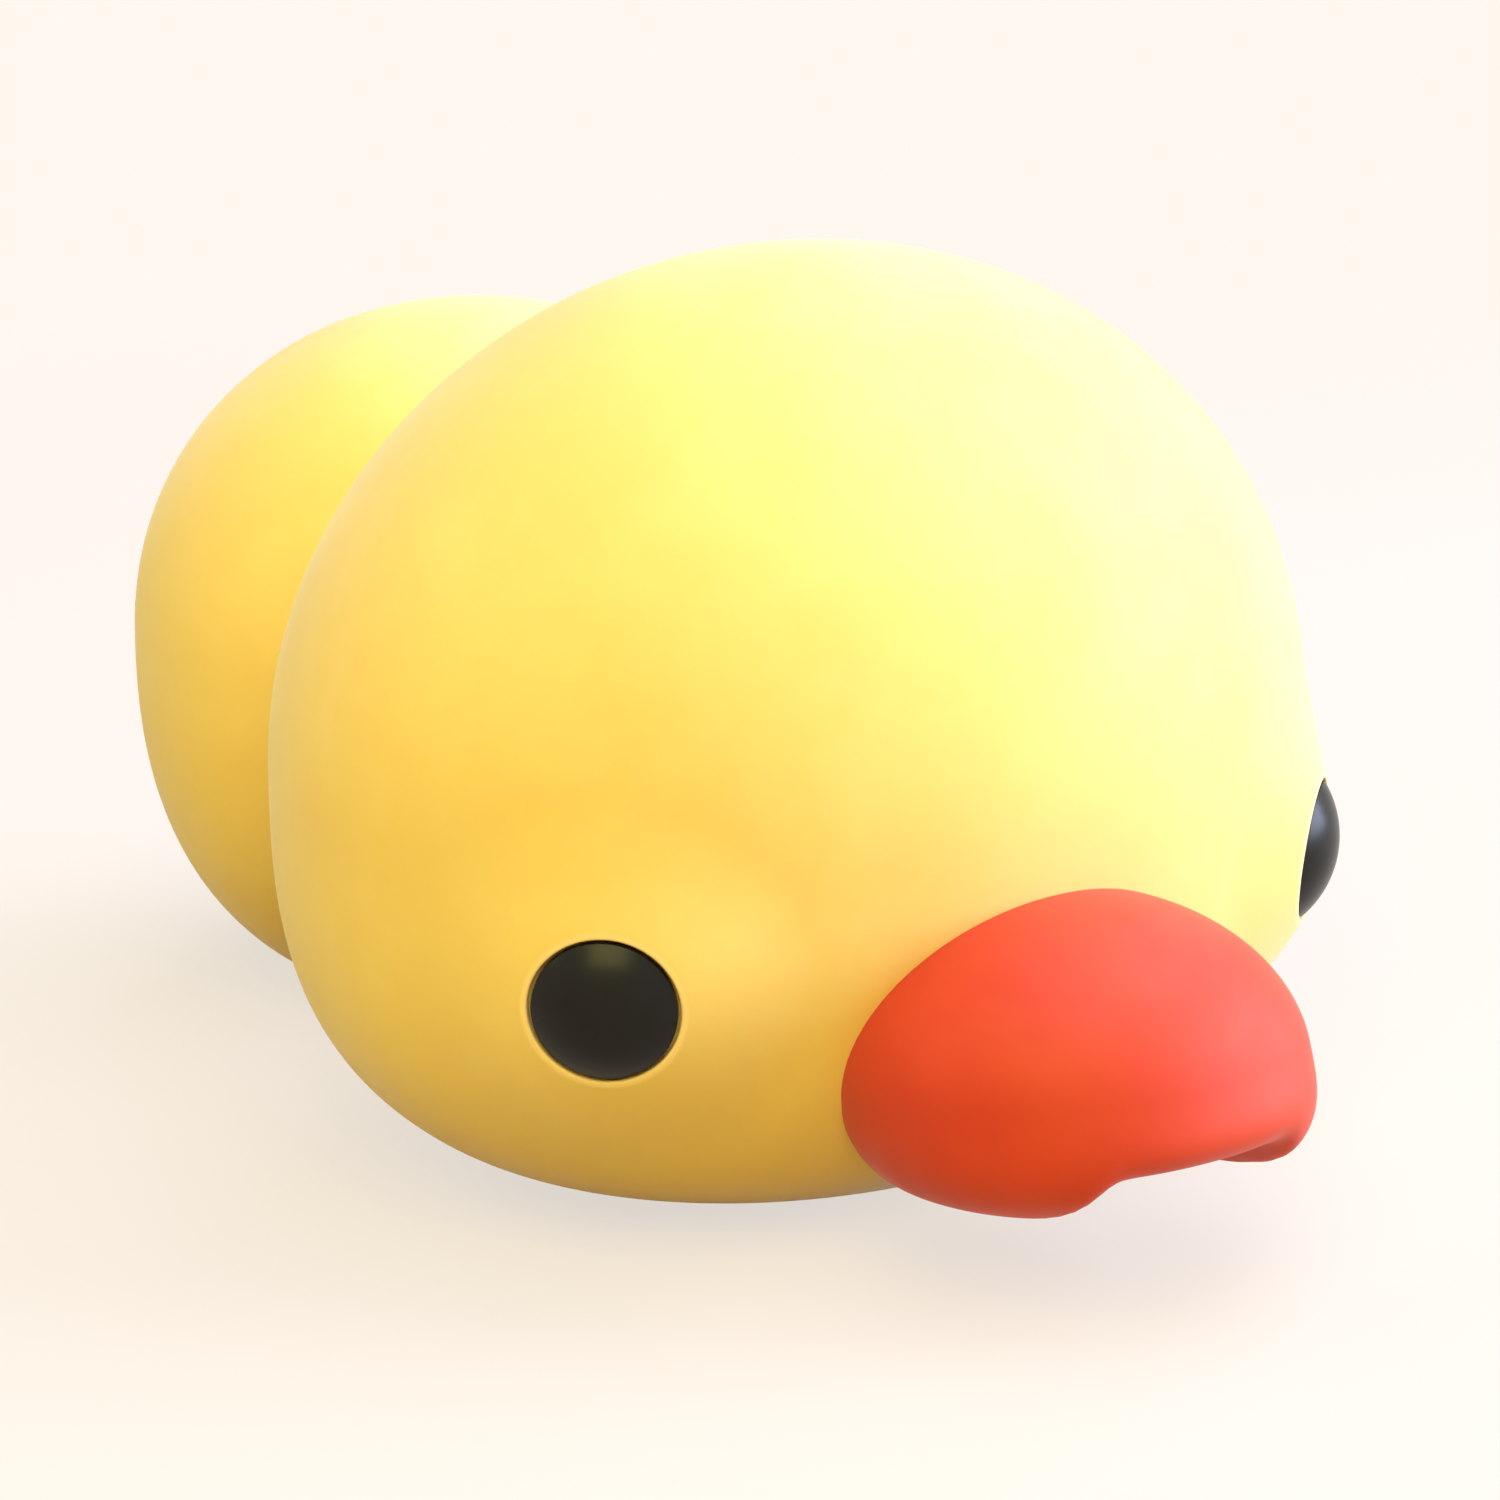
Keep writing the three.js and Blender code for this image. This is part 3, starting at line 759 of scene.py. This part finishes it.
def cast_latex(name, deep, light, bloom, gloss, painted_highlight_colour=None, painted_highlight_seats=()):
    """Natural rubber latex, cast in a mould and coloured through: a soft matte skin that scatters a
    little light under its surface, with cloudy colour and a fine powdery bloom that pales it at a
    glancing angle. Round the hole of each seat given, it has a painted highlight: a pale ring
    where the seat's rim catches the light."""
    material, tree = new_material(name)
    place = add(tree, "ShaderNodeTexCoord").outputs["Object"]
    # Clouding of the colour, about 15 mm across
    clouds = add(
        tree,
        "ShaderNodeTexNoise",
        {"Vector": place, "Scale": 1 / (15 * MM), "Detail": 3.0, "Roughness": 0.55},
    )
    even = add(
        tree,
        "ShaderNodeMapRange",
        {"Value": clouds.outputs["Fac"], "From Min": 0.35, "From Max": 0.65},
        interpolation_type="SMOOTHSTEP",
    )
    colour = add(
        tree,
        "ShaderNodeMix",
        {MIX_FACTOR: even.outputs["Result"], MIX_A: linear(deep), MIX_B: linear(light)},
        data_type="RGBA",
    ).outputs[MIX_RESULT]
    # Painted highlight: a pale ring on the skin round each seat's hole, where its rim catches the
    # light
    for seat in painted_highlight_seats:
        # The distance from the seat's axis, for points near the seat and not right across the head
        away = add(
            tree,
            "ShaderNodeMapping",
            {
                "Vector": place,
                "Location": seat.inside.translation,
                "Rotation": seat.inside.to_euler(),
            },
        )
        flat = add(
            tree,
            "ShaderNodeVectorMath",
            {0: away.outputs["Vector"], 1: (1.0, 1.0, 0.0)},
            operation="MULTIPLY",
        )
        across = add(tree, "ShaderNodeVectorMath", {0: flat.outputs["Vector"]}, operation="LENGTH")
        ring = add(
            tree,
            "ShaderNodeMapRange",
            {
                "Value": across.outputs["Value"],
                "From Min": seat.hole + EYE_PAINTED_HIGHLIGHT_GONE,
                "From Max": seat.hole + EYE_PAINTED_HIGHLIGHT_FULL,
            },
            interpolation_type="SMOOTHSTEP",
        )
        high = add(tree, "ShaderNodeSeparateXYZ", {"Vector": away.outputs["Vector"]})
        near = add(
            tree,
            "ShaderNodeMath",
            {0: high.outputs["Z"], 1: -2 * EYE_BOSS_HEIGHT},
            operation="GREATER_THAN",
        )
        here = add(
            tree,
            "ShaderNodeMath",
            {0: ring.outputs["Result"], 1: near.outputs["Value"]},
            operation="MULTIPLY",
        )
        # The painted highlight's pale colour is mixed in here
        colour = add(
            tree,
            "ShaderNodeMix",
            {MIX_FACTOR: here.outputs["Value"], MIX_A: colour, MIX_B: linear(painted_highlight_colour)},
            data_type="RGBA",
        ).outputs[MIX_RESULT]
    # Bloom: patches about 6 mm across where the skin is a little duller
    patches = add(
        tree,
        "ShaderNodeTexNoise",
        {"Vector": place, "Scale": 1 / (6 * MM), "Detail": 2.0, "Roughness": 0.5},
    )
    dull = add(
        tree,
        "ShaderNodeMapRange",
        {
            "Value": patches.outputs["Fac"],
            "From Min": 0.3,
            "From Max": 0.7,
            "To Min": 0.5,
            "To Max": 0.6,
        },
    )
    # The mould's fine grain, 0.5 mm, which just shows in the render
    grain = add(
        tree, "ShaderNodeTexNoise", {"Vector": place, "Scale": 1 / (0.5 * MM), "Detail": 2.0}
    )
    bump = add(
        tree,
        "ShaderNodeBump",
        {"Strength": 0.25, "Distance": 0.02 * MM, "Height": grain.outputs["Fac"]},
    )
    skin = add(
        tree,
        "ShaderNodeBsdfPrincipled",
        {
            "Base Color": colour,
            "Roughness": dull.outputs["Result"],
            "Normal": bump.outputs["Normal"],
            "IOR": 1.52,
            "Specular IOR Level": gloss,
            "Subsurface Weight": 0.12,
            "Subsurface Radius": (1.0, 0.5, 0.12),
            "Subsurface Scale": 1.5 * MM,
            "Sheen Weight": bloom,
            "Sheen Roughness": 0.5,
            "Sheen Tint": linear("#F4F9FF"),
        },
    )
    add(tree, "ShaderNodeOutputMaterial", {"Surface": skin.outputs["BSDF"]})
    return material


def enamel_coat():
    """Black enamel over a latex dome: deep and smooth with a soft shine, and the faint waves of a
    coat that was dipped and left to dry."""
    material, tree = new_material("black_enamel")
    place = add(tree, "ShaderNodeTexCoord").outputs["Object"]
    # Waves in the dried coat, about 2.5 mm across
    waves = add(
        tree, "ShaderNodeTexNoise", {"Vector": place, "Scale": 1 / (2.5 * MM), "Detail": 1.0}
    )
    shade = add(
        tree,
        "ShaderNodeMix",
        {MIX_FACTOR: waves.outputs["Fac"], MIX_A: linear("#151412"), MIX_B: linear("#1C1B1A")},
        data_type="RGBA",
    )
    bump = add(
        tree,
        "ShaderNodeBump",
        {"Strength": 0.15, "Distance": 0.02 * MM, "Height": waves.outputs["Fac"]},
    )
    coat = add(
        tree,
        "ShaderNodeBsdfPrincipled",
        {
            "Base Color": shade.outputs[MIX_RESULT],
            "Roughness": 0.3,
            "Normal": bump.outputs["Normal"],
            "IOR": 1.48,
            "Specular IOR Level": 0.18,
        },
    )
    add(tree, "ShaderNodeOutputMaterial", {"Surface": coat.outputs["BSDF"]})
    return material


def polyester_fibre():
    """Crimped polyester filling, packed loosely: white, soft and matte, with tangled strands."""
    material, tree = new_material("polyester_fibre")
    place = add(tree, "ShaderNodeTexCoord").outputs["Object"]
    # Strands drawn 0.6 mm wide, many times a real fibre, so that they show
    strands = add(
        tree,
        "ShaderNodeTexNoise",
        {
            "Vector": place,
            "Scale": 1 / (0.6 * MM),
            "Detail": 4.0,
            "Roughness": 0.7,
            "Distortion": 1.5,
        },
    )
    shade = add(
        tree,
        "ShaderNodeMix",
        {MIX_FACTOR: strands.outputs["Fac"], MIX_A: linear("#D9D6CE"), MIX_B: linear("#F7F5F0")},
        data_type="RGBA",
    )
    bump = add(
        tree,
        "ShaderNodeBump",
        {"Strength": 0.6, "Distance": 0.3 * MM, "Height": strands.outputs["Fac"]},
    )
    fluff = add(
        tree,
        "ShaderNodeBsdfPrincipled",
        {
            "Base Color": shade.outputs[MIX_RESULT],
            "Roughness": 0.9,
            "Normal": bump.outputs["Normal"],
            "Specular IOR Level": 0.2,
            "Sheen Weight": 0.4,
            "Sheen Roughness": 0.4,
        },
    )
    add(tree, "ShaderNodeOutputMaterial", {"Surface": fluff.outputs["BSDF"]})
    return material


def moulded_polyethylene():
    """Injection-moulded polyethylene: milky white and waxy, with a fine spark-eroded skin."""
    material, tree = new_material("moulded_polyethylene")
    place = add(tree, "ShaderNodeTexCoord").outputs["Object"]
    # Flow clouding about 4 mm across, and a 0.15 mm grain
    flow = add(tree, "ShaderNodeTexNoise", {"Vector": place, "Scale": 1 / (4 * MM), "Detail": 2.0})
    shade = add(
        tree,
        "ShaderNodeMix",
        {MIX_FACTOR: flow.outputs["Fac"], MIX_A: linear("#E9E8E2"), MIX_B: linear("#F3F2EE")},
        data_type="RGBA",
    )
    grain = add(
        tree, "ShaderNodeTexNoise", {"Vector": place, "Scale": 1 / (0.15 * MM), "Detail": 1.0}
    )
    bump = add(
        tree,
        "ShaderNodeBump",
        {"Strength": 0.2, "Distance": 0.01 * MM, "Height": grain.outputs["Fac"]},
    )
    plastic = add(
        tree,
        "ShaderNodeBsdfPrincipled",
        {
            "Base Color": shade.outputs[MIX_RESULT],
            "Roughness": 0.42,
            "Normal": bump.outputs["Normal"],
            "IOR": 1.51,
            "Subsurface Weight": 0.2,
            "Subsurface Radius": (1.0, 1.0, 0.9),
            "Subsurface Scale": 0.8 * MM,
        },
    )
    add(tree, "ShaderNodeOutputMaterial", {"Surface": plastic.outputs["BSDF"]})
    return material


def polyester_strip():
    """Thin polyester strip, cut from film: pale, hard and smooth, with faint drawing lines along
    it."""
    material, tree = new_material("polyester_strip")
    place = add(tree, "ShaderNodeTexCoord").outputs["Object"]
    # Drawing lines along the reed. They are many times finer on the real film, and drawn about
    # 1.3 mm apart so that they show: a wave node's bands lie 2 pi / 20 apart at a scale of 1.
    lines = add(
        tree,
        "ShaderNodeTexWave",
        {"Vector": place, "Scale": 250.0, "Distortion": 0.5},
        bands_direction="X",
    )
    shade = add(
        tree,
        "ShaderNodeMix",
        {MIX_FACTOR: lines.outputs["Fac"], MIX_A: linear("#CBD6DA"), MIX_B: linear("#DCE6E9")},
        data_type="RGBA",
    )
    strip = add(
        tree,
        "ShaderNodeBsdfPrincipled",
        {"Base Color": shade.outputs[MIX_RESULT], "Roughness": 0.22, "IOR": 1.58},
    )
    add(tree, "ShaderNodeOutputMaterial", {"Surface": strip.outputs["BSDF"]})
    return material


yellow_latex = cast_latex(
    "yellow_latex",
    "#EDCF77",
    "#F0D480",
    bloom=0.35,
    gloss=0.1,
    # A painted highlight: a pale ring round each eye's hole
    painted_highlight_colour="#FFDFA0",
    painted_highlight_seats=(right_eye_seat, left_eye_seat),
)
orange_latex = cast_latex("orange_latex", "#C53B21", "#CC4125", bloom=0.08, gloss=0.2)
black_enamel = enamel_coat()
fibre = polyester_fibre()
polyethylene = moulded_polyethylene()
reed_strip = polyester_strip()


# Pieces


def dress(piece, material, slot, body, *nodes, fill=None):
    """Gives a piece its material, puts it on its body and lets it stand for its nodes. The slot is
    not used. The fill is not used."""
    piece.data.materials.clear()
    piece.data.materials.append(material)
    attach(piece, body)
    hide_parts(*nodes)


dress(head_skin(), yellow_latex, "yellow_latex", "toy", "head_skin", fill=SKIN_FILL)
dress(body_skin(), yellow_latex, "yellow_latex", "toy", "body_skin", fill=SKIN_FILL)
dress(bill_skin(), orange_latex, "orange_latex", "toy", "bill_skin", fill=SKIN_FILL)
dress(eye_dome("right_eye_dome", right_eye_seat), black_enamel, "eye_black", "toy", "right_eye")
dress(eye_dome("left_eye_dome", left_eye_seat), black_enamel, "eye_black", "toy", "left_eye")
dress(squeaker_housing(), polyethylene, "squeaker_white", "toy", "squeaker_housing")
for node, name in (
    ("head_stuffing", "head_fibre"),
    ("body_stuffing", "body_fibre"),
    ("bill_stuffing", "bill_fibre"),
):
    dress(fibre_filling(node, name), fibre, "fibre", "toy", node, fill=FIBRE_FILL)

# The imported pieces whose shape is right
for node, material in (
    ("reed_carrier", polyethylene),
    ("reed_wedge", polyethylene),
    ("vent_cap", polyethylene),
    ("reed_tang", reed_strip),
    ("reed_tongue", reed_strip),
):
    carried = frame["nodes"][node].data
    carried.materials.clear()
    carried.materials.append(material)


# Floor, light and camera


def shown_ray(tree):
    """1 where a ray from the camera, a reflection or something clear sees the surface."""
    path = add(tree, "ShaderNodeLightPath")
    seen = add(
        tree,
        "ShaderNodeMath",
        {0: path.outputs["Is Camera Ray"], 1: path.outputs["Is Glossy Ray"]},
        operation="MAXIMUM",
    )
    return add(
        tree,
        "ShaderNodeMath",
        {0: seen.outputs["Value"], 1: path.outputs["Is Transmission Ray"]},
        operation="MAXIMUM",
    ).outputs["Value"]


def floor():
    """A plain pale sheet. It takes the toy's shadow, and fades into the background further out. To
    the light that it throws back on the toy it is a warmer sheet."""
    bm = bmesh.new()
    bmesh.ops.create_circle(bm, cap_ends=True, segments=FLOOR_SIDES, radius=FLOOR_RADIUS)
    sheet = finish_mesh(bm, "floor")
    material, tree = new_material("pale_floor")
    place = add(tree, "ShaderNodeTexCoord").outputs["Object"]
    away = add(tree, "ShaderNodeVectorMath", {0: place}, operation="LENGTH")
    fade = add(
        tree,
        "ShaderNodeMapRange",
        {"Value": away.outputs["Value"], "From Min": FADE_START, "From Max": FADE_END},
        interpolation_type="SMOOTHSTEP",
    )
    lit = add(tree, "ShaderNodeBsdfDiffuse", {"Color": linear("#D3C8C2")})
    pale = add(tree, "ShaderNodeEmission", {"Color": linear(BACKGROUND), "Strength": 1.0})
    near = add(tree, "ShaderNodeMixShader", {0: FLOOR_GLOW, 1: lit.outputs[0], 2: pale.outputs[0]})
    shown = add(
        tree,
        "ShaderNodeMixShader",
        {0: fade.outputs["Result"], 1: near.outputs[0], 2: pale.outputs[0]},
    )
    bounce = add(tree, "ShaderNodeBsdfDiffuse", {"Color": linear("#BCA778")})
    both = add(
        tree,
        "ShaderNodeMixShader",
        {0: shown_ray(tree), 1: bounce.outputs[0], 2: shown.outputs[0]},
    )
    add(tree, "ShaderNodeOutputMaterial", {"Surface": both.outputs[0]})
    sheet.data.materials.append(material)


def world():
    """A faint even fill, with the plain background where the camera or a reflection sees it."""
    surround = bpy.data.worlds.new("studio")
    bpy.context.scene.world = surround
    surround.use_nodes = True
    tree = surround.node_tree
    tree.nodes.clear()
    fill = add(tree, "ShaderNodeBackground", {"Color": linear("#FFF6E8"), "Strength": WORLD_FILL})
    shown = add(tree, "ShaderNodeBackground", {"Color": linear(BACKGROUND), "Strength": 1.0})
    both = add(
        tree, "ShaderNodeMixShader", {0: shown_ray(tree), 1: fill.outputs[0], 2: shown.outputs[0]}
    )
    add(tree, "ShaderNodeOutputWorld", {"Surface": both.outputs[0]})


def softbox(name, direction, size, power, colour):
    """A square lamp that faces the toy from a direction, with its size in metres and its power in
    watts."""
    lamp = bpy.data.lights.new(name, "AREA")
    lamp.shape = "SQUARE"
    lamp.size = size
    lamp.energy = power
    lamp.color = linear(colour)[:3]
    holder = bpy.data.objects.new(name, lamp)
    bpy.context.scene.collection.objects.link(holder)
    way = Vector(direction).normalized()
    holder.location = CAMERA_TARGET + way * LAMP_DISTANCE
    holder.rotation_euler = way.to_track_quat("Z", "Y").to_euler()


floor()
world()
softbox("window", (0.84, -0.48, 0.30), 0.6, 16.7, "#D3DFFF")
softbox("overhead", (0.08, -0.14, 0.98), 0.7, 5.4, "#E1E4FF")
softbox("skylight", (0.61, 0.15, 0.77), 0.7, 5.4, "#DCDFFF")
softbox("room", (-0.48, -0.52, 0.70), 0.6, 7.0, "#FFF088")
softbox("doorway", (-0.72, 0.42, 0.55), 0.6, 2.2, "#FFF8D0")

camera = bpy.data.cameras.new("camera")
camera.lens = CAMERA_LENS
camera.sensor_width = CAMERA_SENSOR
camera.clip_start = CAMERA_NEAR
camera_holder = bpy.data.objects.new("camera", camera)
bpy.context.scene.collection.objects.link(camera_holder)
camera_holder.location = CAMERA_PLACE
camera_holder.rotation_euler = (CAMERA_PLACE - CAMERA_TARGET).to_track_quat("Z", "Y").to_euler()
bpy.context.scene.camera = camera_holder
bpy.context.scene.view_settings.view_transform = "Standard"
